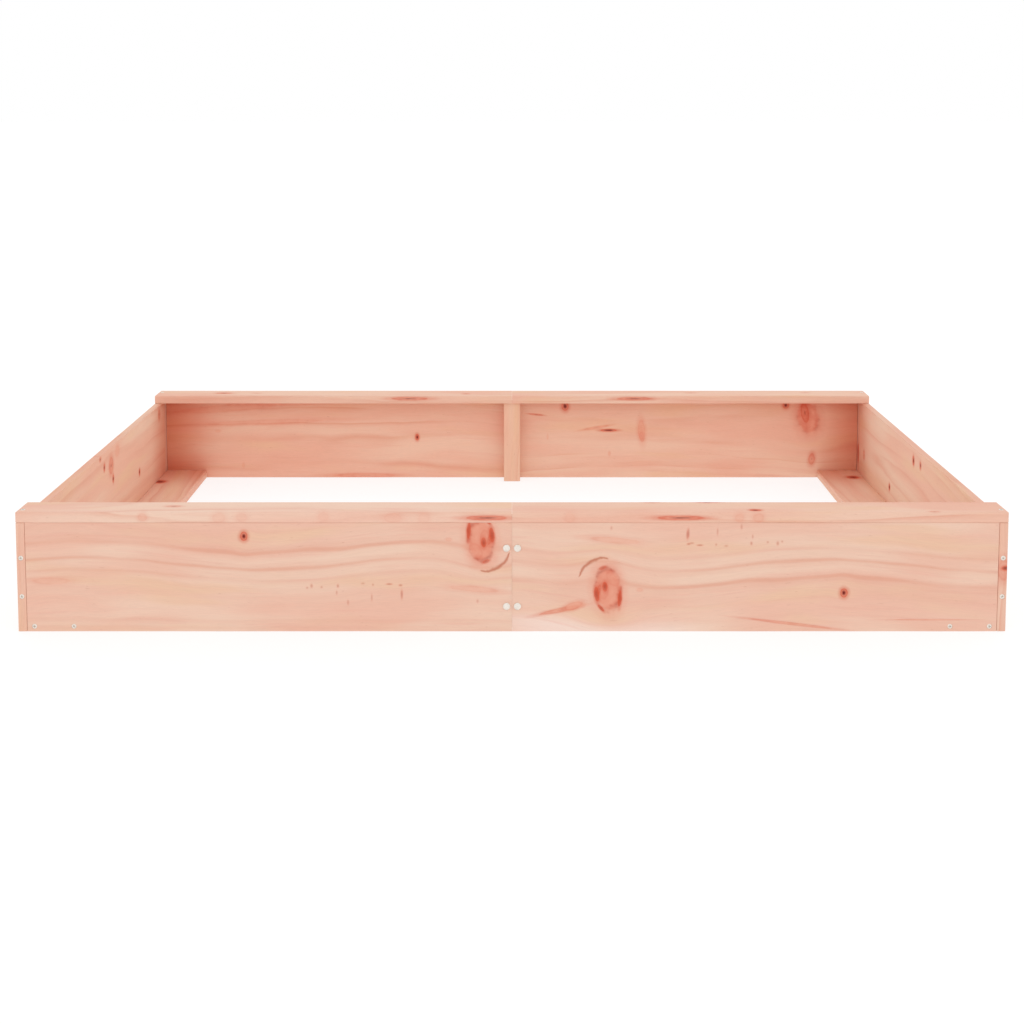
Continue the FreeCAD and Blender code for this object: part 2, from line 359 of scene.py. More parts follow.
def speck(place, half, strength=0.4, tilt=0):
    """A faint reddish mark in the grain."""
    return knot(place, half, tilt, red=0.3, heart=0.0, strength=0.8 * strength)


def fleck(place, half, strength=0.9, tilt=0):
    """A small brown fleck in the grain."""
    return knot(place, half, tilt, red=0.9, heart=0.55, heart_size=0.9, strength=0.52 * strength)


def spike_knot(place, half, strength=0.95, tilt=0):
    """A knot cut along its length: an orange spindle with a darker core line."""
    return knot(place, half, tilt, red=0.7, heart=0.62, heart_size=0.5, strength=strength)


def check(place, radius, towards, spread, half_width, strength):
    """A curved drying check on a face: arc about place, its middle towards an angle."""
    return dict(
        place=place, radius=radius, towards=math.radians(towards),
        spread=math.radians(spread), half_width=half_width, strength=strength,
    )


def on_face(axis, level, features):
    """Features with the coordinate added that they lack: the level of their face on an axis."""
    placed = []
    for one in features:
        place = one["place"]
        placed.append(dict(one, place=(*place[:axis], level, *place[axis:])))
    return tuple(placed)


@dataclass
class Timber:
    """How one wooden piece is cut: its grain direction, faces, growth rings and features."""

    node: str
    along: int  # axis of the grain
    across: int  # axis across the grain in the broad face
    seed: int
    pith: tuple = (0, 30)  # the log's middle from the piece's middle, (across, depth)
    spacing: float = 20.0  # width of a growth ring
    knots: tuple = ()
    checks: tuple = ()
    bands: tuple = ()  # latewood drawn in place of the rings, as rising (place across, how dark)
    contrast: float = 1.0
    tint: tuple = (1.0, 1.0, 1.0)  # of the whole piece
    edge_tint: tuple = ()  # of its narrow faces
    pale: tuple = ()  # spots of sapwood, as (place, half size)
    sway: tuple = (5.0, 900.0, 0.0)  # height, wave length and a crest of the grain's slow bow
    straight_edge: tuple = ()  # where, across the piece, the bow is gone and where it is full
    wander: float = 40.0  # how far the grain strays
    inner: int = 1  # side, through the piece, that faces the sand
    # Painted shade on the ends (0) or edges (1) of the inner side that lie in a corner, as
    # (0 or 1, low or high side, reach, how much)
    painted_shade: tuple = ()

    def __post_init__(self):
        self.depth = 3 - self.along - self.across
        self.shift = self.seed * 3.7  # of its noises
        low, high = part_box(self.node)
        self.low = np.array(low) / MM
        self.high = np.array(high) / MM
        self.pattern_middle = (self.low + self.high) / 2
        self.sense = np.ones(3)

    def turn_pattern(self, twin, turn_x, turn_z):
        """Takes the pattern of twin, turned end for end in the face about (turn_x, turn_z)."""
        middle = twin.pattern_middle
        self.pattern_middle = np.array((2 * turn_x - middle[X], middle[Y], 2 * turn_z - middle[Z]))
        self.sense = np.array((-1.0, 1.0, -1.0))

    def eased_ends(self):
        """Whether each low and high side is eased: a butt joint in the middle stays sharp."""
        at_joint = 1.0
        eased_low = np.abs(self.low) > at_joint
        eased_high = np.abs(self.high) > at_joint
        eased_low[Z] = eased_high[Z] = True
        return eased_low, eased_high

    def own(self, place):
        """A place in the sandbox's millimetres, as along, across, depth in the pattern."""
        away = self.sense * (np.array(place) - self.pattern_middle)
        return away[..., (self.along, self.across, self.depth)]


def band_fade(draw, timber, grain):
    """Slow noise by which the latewood bands come and go along the piece."""
    return draw.noise(grain, (0.0042, 0.03, 0.03), shift=timber.shift + 9)


def growth_rings(draw, timber, grain):
    """Soft dark latewood bands from a log: how dark they are, and the thin line at their edge."""
    pith = draw.vector("SUBTRACT", grain, (0.0, timber.pith[0], timber.pith[1]))
    radius = draw.vector("LENGTH", draw.vector("MULTIPLY", pith, (0.0, 1.0, 1.0)))
    years = draw.noise(draw.join(0.0, radius, 0.0), (1.0, 0.045, 1.0), 1.0, shift=timber.seed)
    age = draw.maths("MULTIPLY_ADD", years, 1.6, draw.maths("DIVIDE", radius, timber.spacing))
    season = draw.maths("FRACT", age)
    band = draw.product(draw.step(season, 0.3, 0.84), draw.step(season, 1.0, 0.84))
    line = draw.product(draw.step(season, 0.72, 0.86), draw.step(season, 0.96, 0.86))
    fade = band_fade(draw, timber, grain)
    band = draw.product(band, draw.step(fade, 0.34, 0.64, 0.12, 1.0))
    return band, draw.product(line, draw.step(fade, 0.48, 0.66, 0.05, 0.8))


def drawn_bands(draw, timber, grain):
    """Latewood bands at given heights across the piece: how dark they are, and their dark line."""
    low, high = timber.bands[0][0], timber.bands[-1][0]
    share = draw.maths("DIVIDE", draw.maths("SUBTRACT", draw.split(grain)[1], low), high - low)
    band = draw.ramp(share, [((at - low) / (high - low), level) for at, level in timber.bands])
    fade = band_fade(draw, timber, grain)
    band = draw.product(band, draw.step(fade, 0.3, 0.66, 0.62, 1.2))
    return band, draw.step(band, 0.55, 1.1, 0.0, 0.6)


def bowed_grain(draw, timber, place):
    """Place as the fibres run: bowed, wandering, and pushed apart round the knots."""
    height, wave_length, crest = timber.sway
    along, across = draw.split(place)[:2]
    turns = draw.maths("SUBTRACT", along, crest)
    wave = draw.maths("COSINE", draw.product(turns, 2 * math.pi / wave_length))
    if timber.straight_edge:
        wave = draw.product(wave, draw.step(across, *timber.straight_edge))
    bow = draw.join(0.0, draw.product(wave, height), 0.0)
    grain = draw.vector("SUBTRACT", place, bow)
    reach = (0.0, timber.wander, timber.wander)
    wander = draw.drift(place, (0.0024, 0.005, 0.005), reach, timber.shift)
    ripple = draw.drift(place, (0.011, 0.019, 0.019), (0.0, 9.0, 7.0), timber.shift + 5)
    grain = draw.vector("ADD", draw.vector("ADD", grain, wander), ripple)
    for one in timber.knots:
        if one["push"]:
            half = one["half"]
            grain = draw.group(BEND_GROUP, {
                "Grain": grain,
                "Place": timber.own(one["place"]),
                "Reach": (half[0] * 2.4, half[1] * 1.8, 2 * THROUGH),
                "Push": one["push"],
            })["Grain"]
    return grain


def paint_features(draw, timber, place, colour, height):
    """Adds the knots and the drying checks to the wood's colour and height."""
    rough = draw.noise(place, (0.1, 0.1, 0.1), shift=timber.seed)
    blotch = draw.noise(place, (0.045, 0.06, 0.06), 2.0, 0.6, timber.seed + 4)
    for one in timber.knots:
        colour, height = draw.group(KNOT_GROUP, {
            "Colour": colour,
            "Height": height,
            "Place in mm": place,
            "Rough": rough,
            "Blotch": blotch,
            "Centre": timber.own(one["place"]),
            "Half Size": one["half"],
            "Tilt": one["tilt"],
            "Red": one["red"],
            "Heart": one["heart"],
            "Heart Size": one["heart_size"],
            "Rim": one["rim"],
            "Strength": one["strength"],
        })
    for one in timber.checks:
        colour, height = draw.group(CHECK_GROUP, {
            "Colour": colour,
            "Height": height,
            "Place in mm": place,
            "Centre": timber.own(one["place"]),
            "Radius": one["radius"],
            "Towards": (math.cos(one["towards"]), math.sin(one["towards"]), 0.0),
            "Narrowing": 1 - math.cos(one["spread"]),
            "Half Width": one["half_width"],
            "Strength": one["strength"],
        })
    return colour, height


def start_material(name):
    """Empty material with its drawing and its texture coordinates."""
    material = bpy.data.materials.new(name)
    material.use_nodes = True
    material.node_tree.nodes.clear()
    draw = Drawing(material.node_tree)
    return material, draw, draw.node("ShaderNodeTexCoord").outputs


def end_material(draw, colour, roughness, relief, strength, depth, fixed):
    """Gives a material its shader, with its relief as a bump. fixed is set on the shader."""
    bump = draw.fed("ShaderNodeBump", {"Strength": strength, "Distance": depth, "Height": relief})
    finish = draw.fed("ShaderNodeBsdfPrincipled", {
        "Base Color": colour, "Roughness": roughness, "Normal": bump.outputs["Normal"], **fixed,
    })
    draw.fed("ShaderNodeOutputMaterial", {"Surface": finish.outputs[0]})


# How strongly each layer colours the wood, at contrast 1
LATEWOOD_SHARE = 0.42
SILK_SHARE = 0.32
DASH_SHARE = 0.4


def plain_wood(draw, timber, grain, band, line):
    """Colour of the wood without its knots, with its fibres and its resin dashes.

    Each layer follows a noise along the grain, finer across it than along it.
    """
    shift, contrast = timber.shift, timber.contrast
    cloud = draw.noise(grain, (0.0032, 0.016, 0.016), shift=shift + 13)
    colour = draw.mix(draw.step(cloud, 0.35, 0.66), EARLYWOOD, BLUSH)
    warm = draw.noise(grain, (0.004, 0.024, 0.024), shift=shift + 17)
    colour = draw.mix(draw.step(warm, 0.5, 0.72, 0.0, 0.7), colour, HONEY)
    for centre, half in timber.pale:
        away = draw.vector("SUBTRACT", grain, timber.own(centre))
        far = draw.vector("LENGTH", draw.vector("DIVIDE", away, half))
        colour = draw.mix(draw.step(far, 1.0, 0.3, 0.0, 0.75), colour, SAPWOOD)
    for dark in (band, line):
        colour = draw.mix(draw.product(dark, LATEWOOD_SHARE * contrast), colour, LATEWOOD)
    silk = draw.noise(grain, (0.005, 0.13, 0.13), 3.0, 0.6, shift + 21)
    silky = draw.step(silk, 0.5, 0.74, 0.0, SILK_SHARE * contrast)
    colour = draw.mix(silky, colour, PINK_STREAK)
    fibre = draw.noise(grain, (0.035, 1.5, 1.5), 4.0, 0.65, shift + 25)
    bright = draw.step(fibre, 0.3, 0.7, 0.96, 1.03)
    colour = draw.vector("MULTIPLY", colour, draw.same(bright))
    dash = draw.noise(grain, (0.07, 0.75, 0.75), shift=shift + 29)
    dashes = draw.step(dash, 0.7, 0.8, 0.0, DASH_SHARE)
    return draw.mix(dashes, colour, RESIN_DASH), fibre, dashes


def end_grain(draw, timber, place, band):
    """Colour of a sawn end: the cut rings, roughened by the saw."""
    ringed = draw.mix(draw.product(band, 0.8), END_GRAIN, LATEWOOD)
    sawn = draw.noise(place, (0.0, 0.9, 0.9), 3.0, 0.7, timber.shift + 31)
    saw = draw.step(sawn, 0.3, 0.7, 0.86, 1.06)
    return draw.vector("MULTIPLY", ringed, draw.same(saw))


def paint_corner_shade(draw, timber, place, colour):
    """Colour of the wood with painted shade on the inner side of its ends and edges in corners."""
    half = (timber.high - timber.low)[[timber.along, timber.across]] / 2
    depth = draw.split(place)[2]
    inner = draw.step(draw.product(depth, timber.inner), 0.0, 4.0)
    for part, side, reach, shade_amount in timber.painted_shade:
        towards = draw.product(draw.split(place)[part], side)
        near = draw.step(towards, half[part] - reach, half[part], 0.0, shade_amount)
        # painted shade: the colour darkened by the tint near a cornered end or edge
        shaded = draw.vector("MULTIPLY", colour, PAINTED_SHADE_TINT)
        colour = draw.mix(draw.product(near, inner), colour, shaded)
    return colour


def softwood(timber):
    """Planed pinkish softwood cut from a log: rings, fibres, blush, knots and checks."""
    material, draw, spot = start_material(f"softwood_{timber.node}")
    centred = draw.vector("SUBTRACT", spot["Object"], tuple(timber.pattern_middle * MM))
    parts = draw.split(draw.vector("MULTIPLY", centred, tuple(timber.sense / MM)))
    place = draw.join(parts[timber.along], parts[timber.across], parts[timber.depth])
    grain = bowed_grain(draw, timber, place)
    band, line = (drawn_bands if timber.bands else growth_rings)(draw, timber, grain)
    colour, fibre, dashes = plain_wood(draw, timber, grain, band, line)

    facing = draw.split(spot["Normal"])
    on_end = draw.step(draw.maths("ABSOLUTE", facing[timber.along]), 0.55, 0.9)
    colour = draw.mix(on_end, colour, end_grain(draw, timber, place, band))
    height = draw.maths("MULTIPLY_ADD", fibre, 0.5, draw.product(band, 0.35))
    height = draw.maths("SUBTRACT", height, dashes)
    colour, height = paint_features(draw, timber, place, colour, height)
    colour = paint_corner_shade(draw, timber, place, colour)
    if timber.edge_tint:
        on_edge = draw.step(draw.maths("ABSOLUTE", facing[timber.across]), 0.3, 0.8)
        colour = draw.mix(on_edge, colour, draw.vector("MULTIPLY", colour, timber.edge_tint))
    colour = draw.vector("MULTIPLY", colour, timber.tint)

    rough = draw.step(fibre, 0.25, 0.75, 0.58, 0.76)
    rough = draw.maths("MULTIPLY_ADD", band, -0.08, rough)
    fixed = {"Specular IOR Level": 0.28}
    end_material(draw, colour, rough, height, strength=0.55, depth=0.25 * MM, fixed=fixed)
    return material


# ---------------------------------------------------------------- timber meshes

EASE = 1.2  # mm, radius of the eased edges
EASE_BORDER = 0.5  # mm from the eased edge to the first mesh line on the face
GRID_STEP = 9.0  # mm between mesh lines on plain wood
FINE_STEP = 2.5  # mm between mesh lines over a knot
FINE_FROM = 0.55  # how marked a knot is before it gets a finer mesh
FINE_REACH = 1.2  # half sizes of a knot that the finer mesh covers
LEAST_GAP = 0.2  # mm between two mesh lines
FLAT_FROM = EASE + 0.4  # mm from a piece's edge to its flat face
TINY = 1e-6
SHARP_ANGLE = math.radians(40)
EASE_UNEVEN = 0.3  # share by which the eased edges widen and narrow
PLANE_MARK = 0.04  # mm, half the depth of the planer's waves
PLANE_STEP = 2.9  # mm along the board for one radian of them


def mesh_lines(low, high, fine_spans, eased):
    """Places of the mesh lines along one axis: dense in the eased edges and over knots."""
    bend = [EASE * (1 - math.tan(math.radians(angle))) for angle in (45, 30, 15, 0)]
    bend.append(EASE + EASE_BORDER)
    places = [low + t for t in (bend if eased[0] else (0.0,))]
    places += [high - t for t in (bend if eased[1] else (0.0,))]
    inner_low, inner_high = low + bend[-1], high - bend[-1]
    count = max(2, round((inner_high - inner_low) / GRID_STEP))
    places += list(np.linspace(inner_low, inner_high, count + 1)[1:-1])
    for start, stop in fine_spans:
        start, stop = max(start, inner_low + 1), min(stop, inner_high - 1)
        if stop > start:
            places += list(np.linspace(start, stop, max(2, round((stop - start) / FINE_STEP))))
    places = sorted(places)
    kept = [places[0]]
    for place in places[1:]:
        if place - kept[-1] > LEAST_GAP:
            kept.append(place)
    return np.array(kept)


def box_faces(counts):
    """Surface points of a lattice, as index triples, and its outward quads."""
    number = np.full(counts, -1)
    on_skin = np.zeros(counts, dtype=bool)
    on_skin[[0, -1], :, :] = True
    on_skin[:, [0, -1], :] = True
    on_skin[:, :, [0, -1]] = True
    index = np.argwhere(on_skin)
    number[on_skin] = np.arange(len(index))
    quads = []
    for axis in (X, Y, Z):
        for side in (0, -1):
            sheet = np.take(number, side, axis=axis)
            ring = [sheet[:-1, :-1], sheet[1:, :-1], sheet[1:, 1:], sheet[:-1, 1:]]
            if (side == 0) != (axis == Y):
                ring.reverse()
            quads.append(np.stack([corner.ravel() for corner in ring], axis=1))
    return index, np.concatenate(quads)


def softly(places, seed):
    """Smooth wavy values from -1 to 1 along a line of places in mm, the same every time."""
    phase = seed * 1.93
    return (
        0.5 * np.sin(places / 61.0 + phase)
        + 0.3 * np.sin(places / 23.0 + 2.1 * phase)
        + 0.2 * np.sin(places / 9.5 + 3.7 * phase)
    )


# Depths in mm of what weathers out of the planed face
BOWL_DEPTH = 0.18
RIM_DEPTH = 0.35
HEART_DEPTH = 0.4
GROOVE_DEPTH = 0.4
BOWL_EDGE = 1.15  # in half sizes of the knot, as the next two
RIM_GROOVE_AT = 0.95
RIM_GROOVE_WIDTH = 0.12
GROOVE_MARGIN = 0.6  # mm by which a check's groove is wider than its line


def knot_relief(timber, points):
    """Depth in mm by which the planed face dips at its knots and checks."""
    dip = np.zeros(len(points))
    own = timber.own(points)
    for one in timber.knots:
        away = own - timber.own(one["place"])
        turn = -one["tilt"]
        along = away[:, 0] * math.cos(turn) - away[:, 1] * math.sin(turn)
        across = away[:, 0] * math.sin(turn) + away[:, 1] * math.cos(turn)
        shares = np.stack([along, across, away[:, 2]], axis=1) / one["half"]
        far = np.linalg.norm(shares, axis=1)
        bowl = BOWL_DEPTH * np.clip(BOWL_EDGE - far, 0, 1)
        off_rim = (far - RIM_GROOVE_AT) / RIM_GROOVE_WIDTH
        rim = RIM_DEPTH * one["rim"] * np.exp(-(off_rim ** 2))
        heart = HEART_DEPTH * one["heart"] * np.exp(-((far / one["heart_size"]) ** 2))
        dip = np.maximum(dip, one["strength"] * (bowl + rim + heart))
    for one in timber.checks:
        away = own - timber.own(one["place"])
        reach = np.hypot(away[:, 0], away[:, 1]) + TINY
        facing = away[:, 0] * math.cos(one["towards"]) + away[:, 1] * math.sin(one["towards"])
        inside = facing / reach > math.cos(one["spread"])
        off_arc = (reach - one["radius"]) / (one["half_width"] + GROOVE_MARGIN)
        groove = np.exp(-(off_arc ** 2))
        dip = np.maximum(dip, GROOVE_DEPTH * one["strength"] * groove * inside)
    return dip


def planed_face(timber, points, axis):
    """Which points lie on the flat part of the two faces across an axis."""
    inner = np.ones(len(points), dtype=bool)
    for other in (X, Y, Z):
        if other != axis:
            inner &= points[:, other] > timber.low[other] + FLAT_FROM
            inner &= points[:, other] < timber.high[other] - FLAT_FROM
    return inner


def timber_mesh(timber):
    """Board with eased, slightly uneven edges, a planed face and dips at its knots."""
    spans = [[], [], []]
    for one in timber.knots:
        if one["strength"] * max(one["rim"], one["heart"]) < FINE_FROM:
            continue
        for part, axis in enumerate((timber.along, timber.across)):
            half = one["half"][part] * FINE_REACH
            spans[axis].append((one["place"][axis] - half, one["place"][axis] + half))
    eased_low, eased_high = timber.eased_ends()
    lines = []
    for axis in (X, Y, Z):
        eased = (eased_low[axis], eased_high[axis])
        lines.append(mesh_lines(timber.low[axis], timber.high[axis], spans[axis], eased))
    index, quads = box_faces([len(line) for line in lines])
    points = np.stack([lines[a][index[:, a]] for a in (X, Y, Z)], axis=1)

    along = points[:, timber.along]
    ease = EASE * (1 + EASE_UNEVEN * softly(along, timber.seed))[:, None]
    core = np.clip(points, timber.low + ease * eased_low, timber.high - ease * eased_high)
    away = points - core
    reach = np.linalg.norm(away, axis=1, keepdims=True)
    rounded = core + away / np.maximum(reach, TINY) * np.minimum(reach, ease)

    marks = PLANE_MARK * (1 + np.sin(along / PLANE_STEP + timber.seed))
    dip = knot_relief(timber, points) + marks
    for axis in (timber.across, timber.depth):
        inner = planed_face(timber, points, axis)
        for side, sign in ((timber.low, 1), (timber.high, -1)):
            here = inner & (np.abs(points[:, axis] - side[axis]) < TINY)
            rounded[here, axis] += sign * dip[here]

    mesh = bpy.data.meshes.new(f"{timber.node}_wood")
    mesh.from_pydata((rounded * MM).tolist(), [], quads.tolist())
    mesh.shade_smooth()
    mesh.set_sharp_from_angle(angle=SHARP_ANGLE)
    return mesh


def add_object(name, mesh):
    made = bpy.data.objects.new(name, mesh)
    bpy.context.scene.collection.objects.link(made)
    return made


# ---------------------------------------------------------------- the timber pieces

def wall_face(side):
    """Y of the outer face of the front (-1) or back (1) wall, in mm."""
    low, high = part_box("front_board_left")[0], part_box("back_board_left")[1]
    return low[Y] / MM if side < 0 else high[Y] / MM


# What the left front board shows, and what only the right one does, placed by x and z in mm
FRONT_KNOTS = (
    knot((-50, 151), (22, 37), tilt=6, red=0.15, heart=0, rim=0.45, push=0.55),
    knot((-45, 146), (4.5, 9), tilt=4, red=1.5, heart=0.5, heart_size=0.8),
    knot((-43, 152), (9, 17), tilt=4, red=0.9, heart=0, strength=0.4),
    knot((-32, 158), (4.5, 13), tilt=6, red=1.5, heart=0.3, heart_size=0.8),
    knot((-36, 150), (3, 9), tilt=-8, red=1.2, heart=0.2, strength=0.6),
    knot((-69, 165), (3.5, 15), tilt=-4, red=1.3, heart=0.15, heart_size=0.8),
    knot((-39, 181), (8, 2.6), tilt=-50, red=1.2, heart=0.3, heart_size=0.8),
    knot((-58, 132), (11, 16), tilt=30, red=0.9, heart=0, strength=0.35),
    knot((-41, 115), (6, 2.5), tilt=24, red=0.8, heart=0.3, heart_size=0.8, strength=0.8),
    pin_knot((-427, 156), (7, 8.5), push=0.5),
    speck((-101, 151), (5, 3), 0.5),
    speck((-60, 70), (44, 5), 0.55, tilt=-5),
    speck((-735, 83), (34, 6), 0.4),
    fleck((-196, 78), (5, 1.6)),
    fleck((-178, 76), (3, 1.8)),
    fleck((-320, 75), (2.2, 3.4), 0.7),
    fleck((-327, 72), (2, 2), 0.5),
    fleck((-304, 73), (2, 2), 0.5),
    fleck((-278, 75), (2, 3), 0.7),
    fleck((-280, 64), (1.5, 3.5), 0.5),
    fleck((-238, 79), (3, 1.8), 0.5),
    fleck((-222, 77), (1.8, 2), 0.5),
    fleck((-176, 61), (2, 8), 0.8),
    fleck((-224, 56), (1.6, 6), 0.5),
    fleck((-262, 48), (1.8, 4.5), 0.5),
    fleck((-55, 50), (2, 3), 0.5),
)
FRONT_CHECKS = (check((-46, 144), 45, -57, 41, half_width=4.4, strength=0.8),)
RIGHT_FRONT_KNOTS = (
    knot((76, 35), (38, 3.5), tilt=12, red=0.5, heart=0.1, strength=0.8),
    knot((98, 42), (17, 6.5), tilt=20, red=0.4, heart=0, strength=0.8),
    fleck((281, 162), (1.8, 8), 0.7),
    fleck((286, 145), (4, 1.6), 0.7),
    knot((446, 13), (74, 2.2), tilt=-7, red=0.7, heart=0, strength=0.6),
    knot((668, 19.5), (66, 1.2), red=0.7, heart=0, strength=0.45),
)
FRONT_TURN = (51.6, 109.8)  # x and z: the right front board is the left one's twin, turned

# How dark the grain is at each height from the left front board's middle, in mm
FRONT_BANDS = (
    (-89, 0.2), (-82, 0.5), (-77, 0.2), (-70, 0.55), (-65, 0.12), (-58, 0.0), (-48, 0.08),
    (-41, 0.25), (-34, 0.14), (-27, 0.34), (-18, 0.18), (-10, 0.32), (-5, 0.18), (3.5, 0.66),
    (9, 0.25), (17, 0.26), (23.5, 0.95), (29, 0.4), (36, 0.08), (43, 0.14), (51, 1.0),
    (57, 0.6), (66, 0.3), (75, 0.36), (84, 0.18), (92, 0.02), (105, 0.0), (111, 0.16),
    (117, 0.0), (127, 0.1), (131, 0.0),
)


def turned_over(features):
    """The features of the left front board, seen on a board turned end for end."""
    turn_x, turn_z = FRONT_TURN
    turned = []
    for one in features:
        x, z = one["place"]
        turned.append(dict(one, place=(2 * turn_x - x, 2 * turn_z - z)))
    return tuple(turned)


def front_boards():
    y = wall_face(-1)
    cut = dict(seed=3, sway=(9.5, 590.0, 284.0), wander=6.0, tint=(0.955, 0.945, 0.95),
               bands=FRONT_BANDS, straight_edge=(-74, -14))
    left = Timber("front_board_left", X, Z, knots=on_face(Y, y, FRONT_KNOTS),
                  checks=on_face(Y, y, FRONT_CHECKS), **cut)
    knots = turned_over(FRONT_KNOTS) + RIGHT_FRONT_KNOTS
    right = Timber("front_board_right", X, Z, knots=on_face(Y, y, knots),
                   checks=on_face(Y, y, turned_over(FRONT_CHECKS)),
                   pale=(((130, y, 6), (220, 34, THROUGH)),), **cut)
    right.turn_pattern(left, *FRONT_TURN)
    return [left, right]


def back_boards():
    y = wall_face(1)
    left = on_face(Y, y, (
        pin_knot((-213, 92), (5, 8.5), push=0.4),
        knot((-330, 5), (80, 5), red=0.5, heart=0.3, strength=0.6),
        speck((-660, 106), (6, 3)),
        speck((-604, 28), (3, 6)),
        speck((-560, 126), (150, 6), 0.5, tilt=2),
        speck((-640, 158), (130, 9), 0.55, tilt=4),
        speck((-470, 171), (150, 6), 0.4, tilt=2),
    ))
    right = on_face(Y, y, (
        pin_knot((119, 163), (9, 12), 0.9, push=0.3),
        knot((217, 108), (22, 3.5), red=0.9, heart=0.9, heart_size=0.7),
        knot((188, 114), (34, 3), tilt=10, red=0.4, heart=0.3, strength=0.6),
        knot((291, 106), (9, 29), tilt=4, red=0.3, heart=0, strength=0.6),
        knot((291, 96), (5, 10), red=0.7, heart=0.2, strength=0.4),
        speck((219, 55), (3, 5), 0.5),
        pin_knot((614, 165), (8, 9), 0.9),
        knot((664, 138), (26, 40), tilt=12, red=0.5, heart=0, rim=0.2, strength=0.8, push=0.5),
        knot((657, 148), (10, 26), tilt=10, red=1.0, heart=0.4, strength=0.8),
        knot((674, 42), (8, 15), tilt=-6, red=0.8, heart=0.3, strength=0.75),
        knot((54, 144), (18, 2), tilt=-6, red=0.8, heart=0.5, strength=0.8),
        speck((80, 93), (2, 6), 0.4),
    ))
    return [
        # Painted shade darkens the back boards at their corner ends and along their tops under the
        # caps
        Timber("back_board_left", X, Z, 12, (-30, 34), 24.0, left, contrast=0.9, tint=REDDER,
               inner=-1, painted_shade=((0, -1, 130, 1.0), (1, 1, 90, 0.32))),
        Timber("back_board_right", X, Z, 17, (20, 32), 24.0, right, contrast=0.75, tint=REDDER,
               inner=-1, painted_shade=((0, 1, 110, 0.9), (1, 1, 70, 0.25))),
    ]


def side_boards():
    left = on_face(X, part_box("side_board_left")[1][X] / MM, (
        knot((15, 142), (13, 18), red=0.8, heart=0.5, strength=0.7, push=0.4),
        speck((52, 160), (12, 12), 0.5),
        pin_knot((-23, 150), (5, 8), 0.9),
        pin_knot((25, 113), (5, 9), 0.95),
        pin_knot((186, 75), (5, 8), push=0.4),
        pin_knot((-44, 172), (6, 5), 0.6),
        knot((330, 158), (8, 12), red=0.7, heart=0.7, strength=0.7),
    ))
    right = on_face(X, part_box("side_board_right")[0][X] / MM, (
        pin_knot((12, 153), (6, 10), push=0.4),
        pin_knot((-27, 155), (5, 8), 0.9),
        pin_knot((152, 54), (5, 8), push=0.4),
        knot((330, 67), (7, 11), red=0.6, heart=0.6, strength=0.7),
    ))
    cut = dict(spacing=20.0, contrast=0.6, edge_tint=SAWN_EDGE)
    return [
        # Painted shade darkens the side boards towards their back ends, in the back corners
        Timber("side_board_left", Y, Z, 22, (10, 32), knots=left, tint=(1.0, 0.975, 0.945),
               painted_shade=((0, 1, 110, 0.8),), **cut),
        Timber("side_board_right", Y, Z, 27, (-12, 30), knots=right, tint=(1.0, 1.01, 1.0),
               inner=-1, painted_shade=((0, 1, 90, 0.7),), **cut),
    ]


def cap_rails():
    low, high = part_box("front_cap_left")
    front, top = low[Y] / MM, high[Z] / MM
    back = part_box("back_cap_left")[0][Y] / MM
    return [
        Timber("front_cap_left", X, Y, 31, (20, -36), 20.0, (
            spike_knot((-40, front, 186), (38, 20, 4)),
            speck((-588, front, 187), (8, 14, 7), 0.5),
            speck((-466, front, 186), (12, 16, 9), 0.35),
            speck((-430, front, 187), (10, 14, 8), 0.3),
            speck((-300, front, 188), (9, 14, 8), 0.25),
            speck((-190, front, 186), (16, 16, 9), 0.3),
            speck((-140, front, 186), (10, 16, 9), 0.25),
            spike_knot((-546, -366, top), (14, 5, 6), 0.5),
        ), contrast=0.75, tint=(0.965, 0.955, 0.965)),
        Timber("front_cap_right", X, Y, 36, (-10, -34), 20.0, (
            spike_knot((269, front, 186), (42, 20, 4)),
            knot((389, -384, top), (10, 5, 7), red=1.0, heart=0.8, heart_size=0.6),
            speck((392, front, 186), (10, 14, 8), 0.45),
            speck((362, front, 186), (8, 14, 8), 0.4),
            speck((92, front, 186), (9, 14, 8), 0.25),
            spike_knot((673, -391, top), (9, 3, 3), 0.5),
            spike_knot((228, -349, top), (14, 3, 4), 0.4),
            spike_knot((318, -348, top), (20, 2.5, 4), 0.8),
        ), contrast=0.8, tint=(0.95, 0.885, 0.87)),
        Timber("back_cap_left", X, Y, 41, (15, -32), 18.0, (
            spike_knot((-227, back, 189), (46, 20, 4), 0.8),
            spike_knot((-643, 372, top), (20, 5, 5), 0.9),
            spike_knot((-570, 372, top), (12, 3, 5), 0.5),
            spike_knot((-102, 366, top), (9, 5, 5), 0.5),
        ), contrast=0.75, tint=(0.965, 0.89, 0.865)),
        Timber("back_cap_right", X, Y, 46, (-15, -34), 18.0, (
            spike_knot((271, back, 189), (44, 20, 4), 0.85),
            spike_knot((400, 374, top), (14, 3, 5), 0.5),
            spike_knot((655, 376, top), (10, 3, 5), 0.5),
        ), contrast=0.75, tint=(0.965, 0.89, 0.865)),
    ]


def bottom_planks():
    # Painted shade darkens the planks towards their back ends, by the back wall
    cut = dict(contrast=0.9, tint=(0.99, 0.94, 0.92), painted_shade=((0, 1, 140, 0.8),))
    return [
        Timber("bottom_plank_left", Y, X, 51, (0, -34), 16.0, (
            knot((-768, 300, 17), (11, 14, 9), red=1.0, heart=0.8, heart_size=0.8),
            knot((-728, -120, 17), (9, 12), red=0.5, rim=0.6, push=0.4),
        ), **cut),
        Timber("bottom_plank_right", Y, X, 56, (5, -36), 16.0, (
            knot((753, 330, 17), (11, 15, 9), red=1.0, heart=0.7, heart_size=0.8),
            knot((726, 90, 17), (8, 11), red=0.5, rim=0.6, push=0.4),
        ), **cut),
    ]


